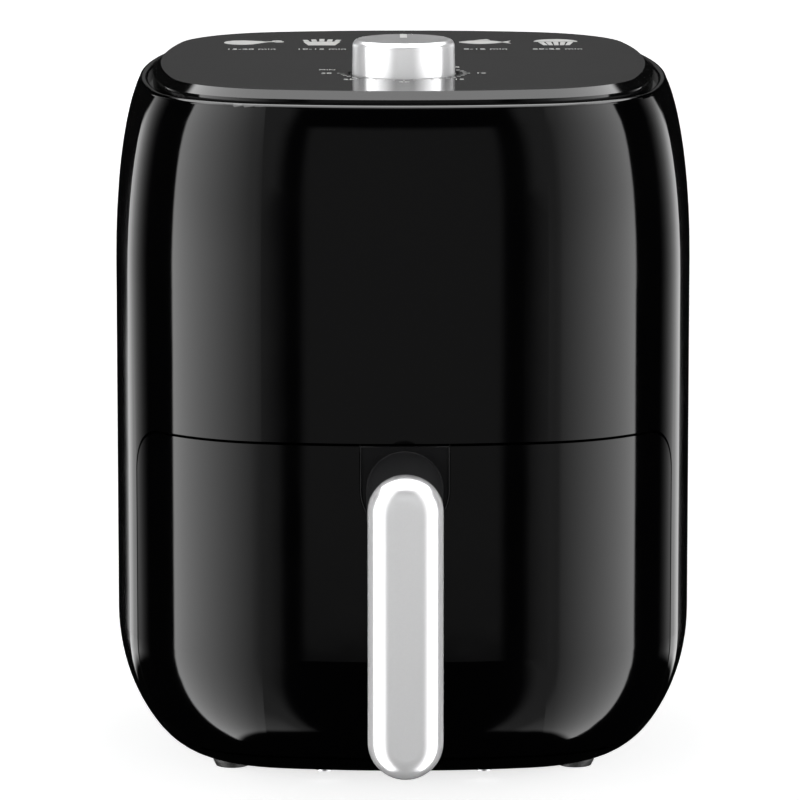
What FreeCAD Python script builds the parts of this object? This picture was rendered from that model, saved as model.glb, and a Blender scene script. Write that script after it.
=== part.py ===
"""Compact drawer air fryer: gloss housing, timer dial on top, pull-out drawer with a hook handle.

Millimetres, +Z up, front towards -Y. The pieces are laid out about the vertical axis of the body and
moved at export, so that the origin lies on the floor under the middle of the whole outline.
"""

import FreeCAD
import Part

import math
import os

V = FreeCAD.Vector
UP = V(0, 0, 1)
BACK = V(0, 1, 0)

# Clearances
FIT = 0.3  # between pieces that pass or seat without touching
RUNNING = 0.05  # radial, between a shaft and its bearing
SEAM_GAP = 1.0  # shadow line round the drawer
PANEL_GAP = 2.0  # groove round the control panel
INSERT_GAP = 0.4  # shadow line round inserts in the housing and the drawer

# Body
BODY_WIDTH = 220.0
BODY_DEPTH = 246.0
BODY_HEIGHT = 258.0  # underside to top of the control panel
FOOT_HEIGHT = 6.0
CORNER_RADIUS = 65.0
FRONT_ARC = 11.6  # half angle of the shallow arc across the front and back, degrees
SIDE_ARC = 11.2  # half angle of the shallow arc along each side, degrees
SHOULDER_INSET = 15.4
SHOULDER_HEIGHT = 74.0
BASE_INSET = 33.7
BASE_ROUND = 48.0
WALL = 2.5
BASE_FLANGE = 14.0

# Control panel
PANEL_INSET = 14.5
PANEL_BEVEL = 3.0
PANEL_DEPTH = 8.0
PANEL_SEAT = 8.0
RIM_DROP = 4.6
RIM_ROUND = 1.3

# Timer dial
DIAL_Y = -47.0
KNOB_RADIUS = 19.4
KNOB_TOP_RADIUS = 19.1
KNOB_HEIGHT = 13.5
KNOB_EDGE = 2.4
KNOB_SHELL = 1.5
DIAL_RECESS_RADIUS = 21.0
DIAL_RECESS = 1.0
DIAL_LIFT = 0.5
POINTER_WIDTH = 2.6
POINTER_LENGTH = 13.0
POINTER_DEPTH = 0.8
HUB_RADIUS = 6.0
TIMER_SHAFT_RADIUS = 3.0
TIMER_SIDE = 44.0
TIMER_HEIGHT = 24.0
TIMER_CORNER = 5.5
TIMER_PAD_RADIUS = 15.4
BELL_RADIUS = 19.0
BELL_HEIGHT = 12.0
BELL_CROWN_RADIUS = 11.4
BELL_SHOULDER_RADIUS = 17.1
BELL_SHOULDER = 3.0

# Drawer front
SEAM_HEIGHT = 129.3  # above the underside
DRAWER_BOTTOM = 8.0  # lower seam above the underside
DRAWER_FACE_DEPTH = 45.0
SEAM_CORNER = 17.0
SEAM_LOW_CORNER = 8.0
INNER_PLATE_WRAP = 20.0

# Handle
HANDLE_REACH = 45.0
HANDLE_WIDTH = 27.6
HANDLE_LENGTH = 112.7
HANDLE_TOP_DROP = 4.5  # top of the grip below the drawer seam
COVER_THICK = 9.0
COVER_ROUND = 8.6
COVER_LIP = 1.5
COVER_POCKET = 3.0
GRIP_THICK = 7.0
NECK_HEIGHT = 26.6
NECK_RISE = 2.0
NECK_FILLET = 12.0
HANDLE_BASE_WIDTH = 32.6
HANDLE_BASE_STRAIGHT = 17.0
BASE_BACKING = 3.0
HANDLE_SCREW_RADIUS = 1.75
HANDLE_SCREW_PITCH = 13.0

# Chamber and pan
BASE_PLATE = 2.5
LINER_RIB = 6.0
SHEET = 0.8
FRAME_GAP = 1.5
FRAME_WALL = 2.5
SIDE_SPACE = 28.2  # outer wall to liner
REAR_SPACE = 33.0
LINER_CORNER = 44.0
PAN_WALL = 1.2
PAN_LIFT = 2.2
PAN_HEIGHT = 92.0
PAN_LIP = 3.0
PAN_ROUND = 12.0
PAN_TAPER_HEIGHT = 40.0
PAN_SIDE_GAP = 2.0
PAN_FRONT_GAP = 4.0
RAIL_HEIGHT = 5.0
BRACKET_WIDTH = 60.0
BRACKET_HEIGHT = 44.0

# Crisper plate
CRISPER_THICK = 1.5
CRISPER_LIFT = 12.0
CRISPER_GAP = 3.0
CRISPER_HOLE_RADIUS = 4.0
CRISPER_RING_PITCH = 17.0
CRISPER_EDGE = 3.0  # least metal outside the outer holes
CRISPER_HOLES_PER_RING = 7
FINGER_HOLE_RADIUS = 10.0
BUMPER_RADIUS = 5.0
BUMPER_BEVEL = 1.5

# Heater and fans
HOOD_HEIGHT = 34.0
HOOD_FLANGE = 8.0
HOOD_MARGIN = 2.0
HEATER_RADIUS = 3.25
HEATER_PITCH = 14.0
HEATER_LIFT = 12.0
HEATER_TURN = 300.0
HEATER_BEND = 8.0
TERMINAL_RISE = 12.0
CLIP_WIDTH = 6.0
SHAFT_RADIUS = 3.0
FAN_GAP = 3.0
FAN_HEIGHT = 9.0
FAN_SHEET = 1.0
FAN_BLADES = 8
FAN_HUB_RADIUS = 7.0
NUT_RADIUS = 5.5
NUT_HEIGHT = 4.0
COOLING_FAN_HEIGHT = 8.0
COOLING_FAN_RADIUS = 36.0
MOTOR_RADIUS = 24.0
MOTOR_HEIGHT = 30.0
MOTOR_BOSS_RADIUS = 9.0
MOTOR_BOSS = 3.0
BRACKET_SHEET = 2.0
BRACKET_LEG_RADIUS = 41.0
BRACKET_LEG_WIDTH = 12.0
LEG_ANGLES = (-90, 30, 150)  # about the fan axis, for the bracket's legs and the heater's clips

# Small electrical pieces
SENSOR_OFFSET = 12.0  # beyond the bracket's legs
THERMOSTAT_ANGLE = -30
THERMOSTAT_RADIUS = 7.0
THERMOSTAT_FLANGE = 2.0
THERMOSTAT_HEIGHT = 7.0
THERMOSTAT_ROUND = 1.0
TAB_WIDTH = 4.0
TAB_HEIGHT = 7.0
TAB_PITCH = 7.0
FUSE_ANGLE = 210
FUSE_RADIUS = 2.2
FUSE_LENGTH = 18.0
SADDLE_LENGTH = 8.0
SADDLE_WIDTH = 10.0
SADDLE_HEIGHT = 2.0
SWITCH_GAP = 2.0
SWITCH_WIDTH = 7.0
SWITCH_DEPTH = 10.0
SWITCH_HEIGHT = 20.0
LEVER_MARGIN = 1.0

# Back and underside
GRILLE_WIDTH = 80.0
GRILLE_HEIGHT = 56.0
GRILLE_BELOW_SHOULDER = 4.0
GRILLE_CORNER = 8.0
GRILLE_LIP = 4.0
SLOT_HEIGHT = 3.0
SLOT_PITCH = 6.5
CORD_COVER_WIDTH = 44.0
CORD_COVER_HEIGHT = 78.0
GLAND_HEIGHT = 60.0
GLAND_BORE = 3.6
GLAND_RADIUS = 5.7
GLAND_FLANGE_RADIUS = 8.0
GLAND_FLANGE = 1.2
GLAND_RECESS = 1.5
GLAND_LENGTH = 14.0
FOOT_RADIUS = 7.2
FOOT_INSET = 39.4
FOOT_STEM = 3.0
FOOT_BEVEL = 1.0
FOOT_BEVEL_HEIGHT = 2.0
BASE_SCREW_RADIUS = 1.5
BASE_SCREW_X = 30.0
BASE_BOSS_RADIUS = 4.5
BASE_BOSS_HEIGHT = 2.0
BASE_VENT_LENGTH = 20.0
BASE_VENTS = 7

# Levels and planes worked out from the sizes above
HALF_WIDTH = BODY_WIDTH / 2
HALF_DEPTH = BODY_DEPTH / 2
Z_BASE = FOOT_HEIGHT
Z_TOP = Z_BASE + BODY_HEIGHT
Z_SHOULDER = Z_TOP - SHOULDER_HEIGHT
Z_SEAM = Z_BASE + SEAM_HEIGHT
Z_LEDGE = Z_TOP - PANEL_DEPTH
Z_PANEL_UNDER = Z_TOP - WALL
Z_PLATE = Z_BASE + WALL
Z_FLOOR = Z_PLATE + BASE_PLATE
Z_LINER = Z_FLOOR + LINER_RIB
Z_PAN = Z_LINER + SHEET + PAN_LIFT
Z_LIP = Z_PAN + PAN_HEIGHT
Z_LINER_TOP = Z_SEAM + FRAME_GAP + FRAME_WALL
Z_HOOD_TOP = Z_LINER_TOP + HOOD_HEIGHT
Z_HEATER = Z_LINER_TOP + HEATER_LIFT
Z_CRISPER = Z_PAN + PAN_WALL + CRISPER_LIFT
Z_COOLING = Z_HOOD_TOP + FAN_GAP
Z_MOTOR = Z_COOLING + COOLING_FAN_HEIGHT + FAN_GAP + BRACKET_SHEET
Y_FRONT = -HALF_DEPTH
Y_SEAM = Y_FRONT + DRAWER_FACE_DEPTH
Y_FRAME = Y_SEAM + FRAME_GAP
Y_LINER = Y_FRAME + FRAME_WALL
Y_LINER_BACK = HALF_DEPTH - REAR_SPACE
LINER_HALF = HALF_WIDTH - SIDE_SPACE
PAN_HALF = LINER_HALF - SHEET - PAN_SIDE_GAP - PAN_LIP
PAN_FRONT = Y_LINER + PAN_SIDE_GAP
PAN_BACK = Y_LINER_BACK - SHEET - PAN_SIDE_GAP - PAN_LIP
PAN_CORNER = LINER_CORNER - SHEET - PAN_SIDE_GAP - PAN_LIP
FAN_Y = (PAN_FRONT + PAN_BACK) / 2
HOOD_RADIUS = min(LINER_HALF, (Y_LINER_BACK - Y_LINER) / 2) - HOOD_MARGIN - HOOD_FLANGE
OUTER_LOOP = HOOD_RADIUS - SHEET - 2 * HEATER_RADIUS
INNER_LOOP = OUTER_LOOP - HEATER_PITCH
FAN_RADIUS = INNER_LOOP - HEATER_RADIUS - FAN_GAP
Y_GRIP = Y_FRONT - HANDLE_REACH
Z_GRIP_TOP = Z_SEAM - HANDLE_TOP_DROP
Z_KNOB = Z_TOP - DIAL_RECESS + DIAL_LIFT


class ArcSide:
    """A convex arc of a plan outline that runs counter-clockwise."""

    def __init__(self, centre, radius, start, turn):
        self.centre = centre
        self.radius = radius
        self.start = start
        self.turn = turn

    def edge(self, inset, z):
        circle = Part.Circle(self.centre + UP * z, UP, self.radius - inset)
        first = math.radians(self.start)
        return Part.ArcOfCircle(circle, first, first + math.radians(self.turn)).toShape()

    def swept(self, section):
        face = section.copy()
        face.translate(V(self.radius, 0, 0))
        face.rotate(V(), UP, self.start)
        face.translate(self.centre)
        return face.revolve(self.centre, UP, self.turn)


class LineSide:
    """A straight side of a plan outline that runs counter-clockwise."""

    def __init__(self, start, end):
        self.start = start
        self.run = end - start
        self.outward = V(self.run.y, -self.run.x, 0).normalize()

    def edge(self, inset, z):
        first = self.start - self.outward * inset + UP * z
        return Part.LineSegment(first, first + self.run).toShape()

    def swept(self, section):
        face = section.copy()
        face.rotate(V(), UP, math.degrees(math.atan2(self.outward.y, self.outward.x)))
        face.translate(self.start)
        return face.extrude(self.run)


def body_corner():
    """Centre of the front right corner arc and the radii of the front and side arcs."""
    front = math.radians(FRONT_ARC)
    side = math.radians(SIDE_ARC)
    run_x = HALF_WIDTH - CORNER_RADIUS
    run_y = HALF_DEPTH - CORNER_RADIUS
    rise_front = 1 - math.cos(front)
    rise_side = 1 - math.cos(side)
    spread = math.sin(front) * math.sin(side) - rise_front * rise_side
    beyond_front = (run_x * math.sin(side) - rise_side * run_y) / spread
    beyond_side = (run_y * math.sin(front) - rise_front * run_x) / spread
    centre = V(beyond_front * math.sin(front), -beyond_side * math.sin(side), 0)
    return centre, beyond_front + CORNER_RADIUS, beyond_side + CORNER_RADIUS


def front_dip(half, inset=0.0):
    """How far the shallow front arc falls back at a distance of half from its middle."""
    radius = body_corner()[1] - inset
    return radius - math.sqrt(radius**2 - half**2)


def body_plan():
    """Plan outline of the body: shallow arcs on the four sides, joined by tangent corner arcs."""
    corner, front_radius, side_radius = body_corner()
    corner_turn = 90 - FRONT_ARC - SIDE_ARC
    half = [
        (V(0, front_radius - HALF_DEPTH, 0), front_radius, -90 - FRONT_ARC, 2 * FRONT_ARC),
        (corner, CORNER_RADIUS, -90 + FRONT_ARC, corner_turn),
        (V(HALF_WIDTH - side_radius, 0, 0), side_radius, -SIDE_ARC, 2 * SIDE_ARC),
        (V(corner.x, -corner.y, 0), CORNER_RADIUS, SIDE_ARC, corner_turn),
    ]
    sides = [ArcSide(*arc) for arc in half]
    sides += [ArcSide(centre * -1, radius, start + 180, turn) for centre, radius, start, turn in half]
    return sides


def rounded_plan(half_width, front, back, radius):
    """Plan outline of a rounded rectangle from front to back."""
    sides = []
    middle = (front + back) / 2
    centre = V(half_width - radius, (back - front) / 2 - radius, 0)
    corners = [(1, -1, -90), (1, 1, 0), (-1, 1, 90), (-1, -1, 180)]
    arcs = [
        ArcSide(V(centre.x * x, middle + centre.y * y, 0), radius, start, 90)
        for x, y, start in corners
    ]
    for arc, following in zip(arcs, arcs[1:] + arcs[:1]):
        end = arc.edge(0, 0).Vertexes[-1].Point
        start = following.edge(0, 0).Vertexes[0].Point
        sides += [arc, LineSide(end, start)]
    return sides


def outline(plan, inset, z):
    return Part.Wire([side.edge(inset, z) for side in plan])


def prism(plan, inset, low, high):
    return Part.Face(outline(plan, inset, low)).extrude(UP * (high - low))


def ring(plan, section):
    """Solid whose cross-section, drawn at x = -inset, follows the plan all the way round."""
    pieces = [side.swept(section) for side in plan]
    return fuse(pieces)


def fuse(pieces):
    return pieces[0].multiFuse(pieces[1:]).removeSplitter()


def box(low, high):
    size = high - low
    return Part.makeBox(size.x, size.y, size.z, low)


def cylinder(radius, low, high, x=0.0, y=0.0):
    return Part.makeCylinder(radius, high - low, V(x, y, low))


def tube(outer, inner, low, high, x=0.0, y=0.0):
    return cylinder(outer, low, high, x, y).cut(cylinder(inner, low, high, x, y))


def face_of(edges):
    return Part.Face(Part.Wire(Part.__sortEdges__(edges)))


def line(first, second):
    return Part.LineSegment(first, second).toShape()


def chain(points):
    return [line(a, b) for a, b in zip(points, points[1:])]


def turned(points, x=0.0, y=0.0):
    """Solid turned about a vertical axis from a closed outline of (radius, height) points."""
    corners = [V(radius, 0, z) for radius, z in points]
    solid = Part.Face(Part.makePolygon(corners + corners[:1])).revolve(V(), UP, 360)
    solid.translate(V(x, y, 0))
    return solid


def ellipse_arc(centre, outward, upward, first, last):
    """Arc in the XZ plane of centre + outward cos(t) along X + upward sin(t) along Z, in degrees."""
    side = centre + V(outward, 0, 0)
    top = centre + V(0, 0, upward)
    if abs(outward) >= abs(upward):
        whole = Part.Ellipse(side, top, centre)
    else:
        whole = Part.Ellipse(top, side, centre)
        first, last = 90 - last, 90 - first
    return Part.ArcOfEllipse(whole, math.radians(first), math.radians(last)).toShape()


def rounded_face(half_width, low, high, low_radius, high_radius, y):
    """Upright face in the plane of the given y, with rounded lower and upper corners."""
    edges = []
    points = []
    levels = [(low, low_radius, -1), (low, low_radius, 1), (high, high_radius, 1), (high, high_radius, -1)]
    for index, (z, radius, side) in enumerate(levels):
        into = 1 if z == low else -1
        across = V(side * (half_width - radius), y, z)
        upright = V(side * half_width, y, z + into * radius)
        reach = radius * (1 - math.sqrt(0.5))
        middle = V(side * (half_width - reach), y, z + into * reach)
        first, last = (upright, across) if index % 2 == 0 else (across, upright)
        edges.append(Part.Arc(first, middle, last).toShape())
        points += [first, last]
    for index in range(4):
        start = points[2 * index + 1]
        end = points[(2 * index + 2) % 8]
        if start.distanceToPoint(end) > 1e-6:
            edges.append(line(start, end))
    return face_of(edges)


def shoulder_angle(offset, z):
    return math.asin(min(1.0, (z - Z_SHOULDER) / (SHOULDER_HEIGHT - offset)))


def skin_point(offset, z):
    """Point at height z of the shoulder, moved inwards by offset."""
    outward = (SHOULDER_INSET - offset) * math.cos(shoulder_angle(offset, z))
    return V(outward - SHOULDER_INSET, 0, z)


def skin(offset, z_end):
    """Edges of the body's skin, moved inwards by offset, from the underside up to z_end."""
    foot = V(-BASE_INSET, 0, Z_BASE + BASE_ROUND)
    head = V(-SHOULDER_INSET, 0, Z_SHOULDER)
    end = math.degrees(shoulder_angle(offset, z_end))
    return [
        ellipse_arc(foot, BASE_INSET - offset, offset - BASE_ROUND, 0, 90),
        line(V(-offset, 0, foot.z), V(-offset, 0, head.z)),
        ellipse_arc(head, SHOULDER_INSET - offset, SHOULDER_HEIGHT - offset, 0, end),
    ]


def shell_section():
    """Cross-section of the housing wall, with the rolled rim, the panel seat and the base flange."""
    rim = Z_TOP - RIM_DROP - RIM_ROUND
    seat_edge = PANEL_GAP - PANEL_INSET
    rim_start = skin_point(0, rim)
    rim_end = V(seat_edge, 0, rim)
    rim_middle = (rim_start + rim_end) * 0.5 + UP * RIM_ROUND
    under = Z_LEDGE - WALL
    seat_inner = -PANEL_INSET - PANEL_SEAT
    flange = -BASE_INSET - BASE_FLANGE
    seat = [
        rim_end,
        V(seat_edge, 0, Z_LEDGE),
        V(seat_inner, 0, Z_LEDGE),
        V(seat_inner, 0, under),
        skin_point(WALL, under),
    ]
    foot = [
        V(-BASE_INSET, 0, Z_PLATE),
        V(flange, 0, Z_PLATE),
        V(flange, 0, Z_BASE),
        V(-BASE_INSET, 0, Z_BASE),
    ]
    edges = skin(0, rim) + [Part.Arc(rim_start, rim_middle, rim_end).toShape()]
    return face_of(edges + chain(seat) + skin(WALL, under) + chain(foot))


def wall_mould(clearance):
    """Everything outside the housing's inner face, less a clearance: shapes pieces that fit inside."""
    offset = WALL + clearance
    top = Z_TOP - offset
    beyond = CORNER_RADIUS
    edges = skin(offset, top)
    frame = [
        V(-SHOULDER_INSET, 0, top),
        V(beyond, 0, top),
        V(beyond, 0, Z_BASE + offset),
        V(-BASE_INSET, 0, Z_BASE + offset),
    ]
    return ring(BODY, face_of(edges + chain(frame)))


def drawer_region(offset, low=None):
    """Space of the drawer front in side view, grown by offset, right across the body."""
    far = Y_FRONT - WALL
    back = Y_SEAM + offset
    top = Z_SEAM + offset
    bottom = Z_BASE + DRAWER_BOTTOM - offset if low is None else low
    high_radius = SEAM_CORNER + offset
    low_radius = SEAM_LOW_CORNER + offset
    x = -HALF_WIDTH - WALL
    bend = 1 - math.sqrt(0.5)
    low_arc = [
        V(x, back - low_radius, bottom),
        V(x, back - low_radius * bend, bottom + low_radius * bend),
        V(x, back, bottom + low_radius),
    ]
    high_arc = [
        V(x, back, top - high_radius),
        V(x, back - high_radius * bend, top - high_radius * bend),
        V(x, back - high_radius, top),
    ]
    edges = [Part.Arc(*low_arc).toShape(), Part.Arc(*high_arc).toShape()]
    edges += [line(low_arc[2], high_arc[0])]
    edges += chain([high_arc[2], V(x, far, top), V(x, far, bottom), low_arc[0]])
    return face_of(edges).extrude(V(-2 * x, 0, 0))


def rear_window(half_width, low, high, offset):
    """Upright opening through the back wall, grown by offset."""
    radius = GRILLE_CORNER + offset
    face = rounded_face(half_width + offset, low - offset, high + offset, radius, radius, HALF_DEPTH / 2)
    return face.extrude(BACK * HALF_DEPTH)


BODY = body_plan()
SHELL_RING = ring(BODY, shell_section())
PAN_PLAN = rounded_plan(PAN_HALF, PAN_FRONT, PAN_BACK, PAN_CORNER)
GRILLE_TOP = Z_SHOULDER - GRILLE_BELOW_SHOULDER
GRILLE_LOW = GRILLE_TOP - GRILLE_HEIGHT
CORD_TOP = Z_BASE + CORD_COVER_HEIGHT
CORD_LOW = Z_BASE - GRILLE_CORNER


def foot_places():
    corner, _, _ = body_corner()
    x = corner.x + CORNER_RADIUS - FOOT_INSET
    sides = {"left": -x, "right": x}
    ends = {"front": corner.y, "rear": -corner.y}
    return {f"foot_{end}_{side}": (sides[side], ends[end]) for end in ends for side in sides}


def base_screw_places():
    y = HALF_DEPTH - BASE_INSET - BASE_BOSS_RADIUS - front_dip(BASE_SCREW_X, BASE_INSET)
    return [(x, end * y) for x in (-BASE_SCREW_X, BASE_SCREW_X) for end in (-1, 1)]


def housing_shell():
    shell = SHELL_RING.cut(drawer_region(SEAM_GAP / 2))
    openings = [
        rear_window(GRILLE_WIDTH / 2, GRILLE_LOW, GRILLE_TOP, INSERT_GAP),
        rear_window(CORD_COVER_WIDTH / 2, CORD_LOW, CORD_TOP, INSERT_GAP),
    ]
    openings += [cylinder(FOOT_STEM + FIT, 0, Z_PLATE, x, y) for x, y in foot_places().values()]
    openings += [cylinder(BASE_SCREW_RADIUS + FIT, 0, Z_PLATE, x, y) for x, y in base_screw_places()]
    return shell.cut(openings)


def control_panel():
    """Cap with a bevelled edge and a shallow recess under the dial."""
    cap = prism(BODY, PANEL_INSET, Z_LEDGE, Z_TOP)
    top = [edge for edge in cap.Edges if min(v.Z for v in edge.Vertexes) > Z_TOP - FIT]
    cap = cap.makeChamfer(PANEL_BEVEL, top)
    hollow = prism(BODY, PANEL_INSET + WALL, Z_LEDGE, Z_PANEL_UNDER)
    recess = cylinder(DIAL_RECESS_RADIUS, Z_TOP - DIAL_RECESS, Z_TOP, 0, DIAL_Y)
    hole = cylinder(HUB_RADIUS + FIT, Z_LEDGE, Z_TOP, 0, DIAL_Y)
    return cap.cut([hollow, recess, hole])


def base_plate():
    """Plate on the housing's flange, with ribs under the liner, vents, and bosses for its screws."""
    plate = prism(BODY, BASE_INSET + FIT, Z_PLATE, Z_FLOOR)
    rib_x = LINER_HALF / 2
    ribs = [
        box(V(x - WALL / 2, PAN_FRONT, Z_FLOOR), V(x + WALL / 2, PAN_BACK, Z_LINER))
        for x in (-rib_x, 0, rib_x)
    ]
    boss_top = Z_FLOOR + BASE_BOSS_HEIGHT
    bosses = [cylinder(BASE_BOSS_RADIUS, Z_FLOOR, boss_top, x, y) for x, y in base_screw_places()]
    holes = [cylinder(BASE_SCREW_RADIUS + FIT, 0, boss_top, x, y) for x, y in base_screw_places()]
    holes += [cylinder(FOOT_STEM + FIT, 0, Z_FLOOR, x, y) for x, y in foot_places().values()]
    for side in (-1, 1):
        for index in range(BASE_VENTS):
            y = (index - (BASE_VENTS - 1) / 2) * 2 * SLOT_PITCH
            first = V(rib_x / 2 * side - BASE_VENT_LENGTH / 2, y - SLOT_HEIGHT / 2, Z_PLATE)
            holes.append(box(first, first + V(BASE_VENT_LENGTH, SLOT_HEIGHT, BASE_PLATE)))
    return fuse([plate] + ribs + bosses).cut(holes)


def feet():
    """Rubber pads, each with a stem pushed through the flange and the base plate."""
    points = [(0, 0), (FOOT_RADIUS - FOOT_BEVEL, 0), (FOOT_RADIUS, FOOT_BEVEL_HEIGHT), (FOOT_RADIUS, Z_BASE)]
    points += [(FOOT_STEM, Z_BASE), (FOOT_STEM, Z_FLOOR), (0, Z_FLOOR)]
    return {name: turned(points, x, y) for name, (x, y) in foot_places().items()}


def base_screws():
    head = 2 * BASE_SCREW_RADIUS
    low = Z_BASE - BASE_SCREW_RADIUS
    points = [(0, low), (head, low), (head, Z_BASE), (BASE_SCREW_RADIUS, Z_BASE)]
    tip = Z_FLOOR + BASE_BOSS_HEIGHT
    points += [(BASE_SCREW_RADIUS, tip), (0, tip)]
    return Part.makeCompound([turned(points, x, y) for x, y in base_screw_places()])


def rear_grille():
    """Louvred insert in the back wall, with a lip behind the edge of its opening."""
    lip_inset = WALL + FIT
    inner = lip_inset + WALL - INSERT_GAP
    low = GRILLE_LOW - 2 * GRILLE_LIP
    high = GRILLE_TOP + 2 * GRILLE_LIP
    solid = prism(BODY, 0, low, high)
    core = prism(BODY, inner, low, high)
    skin_band = solid.cut(core)
    lip_band = prism(BODY, lip_inset, low, high).cut(core)
    half = GRILLE_WIDTH / 2
    plate = skin_band.common(rear_window(half, GRILLE_LOW, GRILLE_TOP, 0))
    lip = lip_band.common(rear_window(half, GRILLE_LOW, GRILLE_TOP, GRILLE_LIP))
    relief = prism(BODY, WALL, low, high)
    relief = relief.common(rear_window(half, GRILLE_LOW, GRILLE_TOP, -GRILLE_LIP))
    cuts = [relief]
    count = int((GRILLE_HEIGHT - 2 * GRILLE_CORNER) / SLOT_PITCH) + 1
    middle = (GRILLE_LOW + GRILLE_TOP) / 2
    slot_half = half - GRILLE_CORNER
    radius = SLOT_HEIGHT / 2
    for index in range(count):
        z = middle + (index - (count - 1) / 2) * SLOT_PITCH
        face = rounded_face(slot_half, z - radius, z + radius, radius, radius, HALF_DEPTH / 2)
        cuts.append(face.extrude(BACK * HALF_DEPTH))
    return fuse([plate, lip]).cut(cuts)


def along_back(radius, z, front, back):
    return Part.makeCylinder(radius, back - front, V(0, front, z), BACK)


def cord_pieces():
    """Cover over the cord outlet at the lower back, and the bush that the cord goes through."""
    z = Z_BASE + GLAND_HEIGHT
    seat = HALF_DEPTH - GLAND_RECESS
    thick = seat - 2 * WALL
    cover = SHELL_RING.common(rear_window(CORD_COVER_WIDTH / 2, CORD_LOW, CORD_TOP, 0))
    boss = along_back(GLAND_FLANGE_RADIUS + WALL, z, thick, HALF_DEPTH - WALL / 2)
    cover = fuse([cover, boss])
    cover = cover.cut([
        along_back(GLAND_FLANGE_RADIUS + FIT, z, seat, HALF_DEPTH + WALL),
        along_back(GLAND_RADIUS + FIT, z, thick - WALL, HALF_DEPTH + WALL),
    ])
    end = seat + GLAND_FLANGE
    start = end - GLAND_LENGTH
    gland = fuse([
        along_back(GLAND_FLANGE_RADIUS, z, seat, end),
        along_back(GLAND_RADIUS, z, start, seat),
        along_back(GLAND_FLANGE_RADIUS, z, start, thick),
    ])
    return {"cord_cover": cover, "cord_gland": gland.cut(along_back(GLAND_BORE, z, start, end))}


def drawer_frame():
    """Facing behind the drawer front: an upright with the pan's opening, curving into a soffit."""
    outer = drawer_region(FRAME_GAP + FRAME_WALL, -Z_TOP)
    band = outer.cut(drawer_region(FRAME_GAP, -Z_TOP))
    band = band.cut(box(V(-BODY_WIDTH, -BODY_DEPTH, -2 * Z_TOP), V(BODY_WIDTH, BODY_DEPTH, Z_FLOOR)))
    half = LINER_HALF - SHEET
    face = rounded_face(half, Z_LINER + SHEET, Z_LIP + PAN_FRONT_GAP, PAN_LIP, PAN_LIP, Y_FRAME - WALL)
    opening = face.extrude(BACK * (FRAME_WALL + 2 * WALL))
    return band.cut([wall_mould(FIT), opening])


def liner_plan():
    return rounded_plan(LINER_HALF, Y_LINER - 2 * LINER_CORNER, Y_LINER_BACK, LINER_CORNER)


def chamber_liner():
    """Sheet metal chamber round the pan, open at the front and under the heater."""
    plan = liner_plan()
    inside = prism(plan, SHEET, Z_LINER + SHEET, Z_LINER_TOP - SHEET)
    liner = prism(plan, 0, Z_LINER, Z_LINER_TOP).cut(inside)
    front = box(V(-BODY_WIDTH, -BODY_DEPTH, 0), V(BODY_WIDTH, Y_LINER, Z_TOP))
    mouth = cylinder(HOOD_RADIUS - SHEET, Z_LINER_TOP - 2 * SHEET, Z_LINER_TOP, 0, FAN_Y)
    return liner.cut([front, mouth])


def guide_rails():
    """Angle rails on the liner's sides, which carry the lip of the pan."""
    top = Z_LIP - PAN_WALL - FIT
    outer = LINER_HALF - SHEET
    inner = PAN_HALF + PAN_LIP / 2
    rails = {}
    for name, side in (("guide_rail_left", -1), ("guide_rail_right", 1)):
        points = [
            V(side * outer, Y_LINER, top + PAN_WALL),
            V(side * (outer - SHEET), Y_LINER, top + PAN_WALL),
            V(side * (outer - SHEET), Y_LINER, top),
            V(side * inner, Y_LINER, top),
            V(side * inner, Y_LINER, top - SHEET),
            V(side * (outer - SHEET), Y_LINER, top - SHEET),
            V(side * (outer - SHEET), Y_LINER, top - RAIL_HEIGHT),
            V(side * outer, Y_LINER, top - RAIL_HEIGHT),
        ]
        length = Y_LINER_BACK - LINER_CORNER - Y_LINER
        rails[name] = Part.Face(Part.makePolygon(points + points[:1])).extrude(BACK * length)
    return rails


def heater_hood():
    """Spun sheet dish over the chamber's mouth, which holds the heater and the fan."""
    outer = HOOD_RADIUS
    inner = outer - SHEET
    round_in = 3 * SHEET
    points = [
        (inner, Z_LINER_TOP),
        (outer + HOOD_FLANGE, Z_LINER_TOP),
        (outer + HOOD_FLANGE, Z_LINER_TOP + SHEET),
        (outer, Z_LINER_TOP + SHEET),
        (outer, Z_HOOD_TOP - round_in),
        (outer - round_in, Z_HOOD_TOP),
        (SHAFT_RADIUS + FAN_GAP, Z_HOOD_TOP),
        (SHAFT_RADIUS + FAN_GAP, Z_HOOD_TOP - SHEET),
        (inner - round_in, Z_HOOD_TOP - SHEET),
        (inner, Z_HOOD_TOP - SHEET - round_in),
    ]
    hood = turned(points, 0, FAN_Y)
    return hood.cut([
        cylinder(HEATER_RADIUS + FIT, Z_HEATER, Z_HOOD_TOP + SHEET, place.x, place.y)
        for place in terminal_places()
    ])


def on_circle(radius, angle, z=0.0):
    """Point about the fan axis."""
    turn = math.radians(angle)
    return V(radius * math.cos(turn), FAN_Y + radius * math.sin(turn), z)


def heater_start():
    return 90 + (360 - HEATER_TURN) / 2


def terminal_places():
    """Plan positions of the two upright ends of the heater, past the bend at each loop's start."""
    start = heater_start()
    back = V(math.sin(math.radians(start)), -math.cos(math.radians(start)), 0) * HEATER_BEND
    return [on_circle(radius, start) + back for radius in (INNER_LOOP, OUTER_LOOP)]


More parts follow.
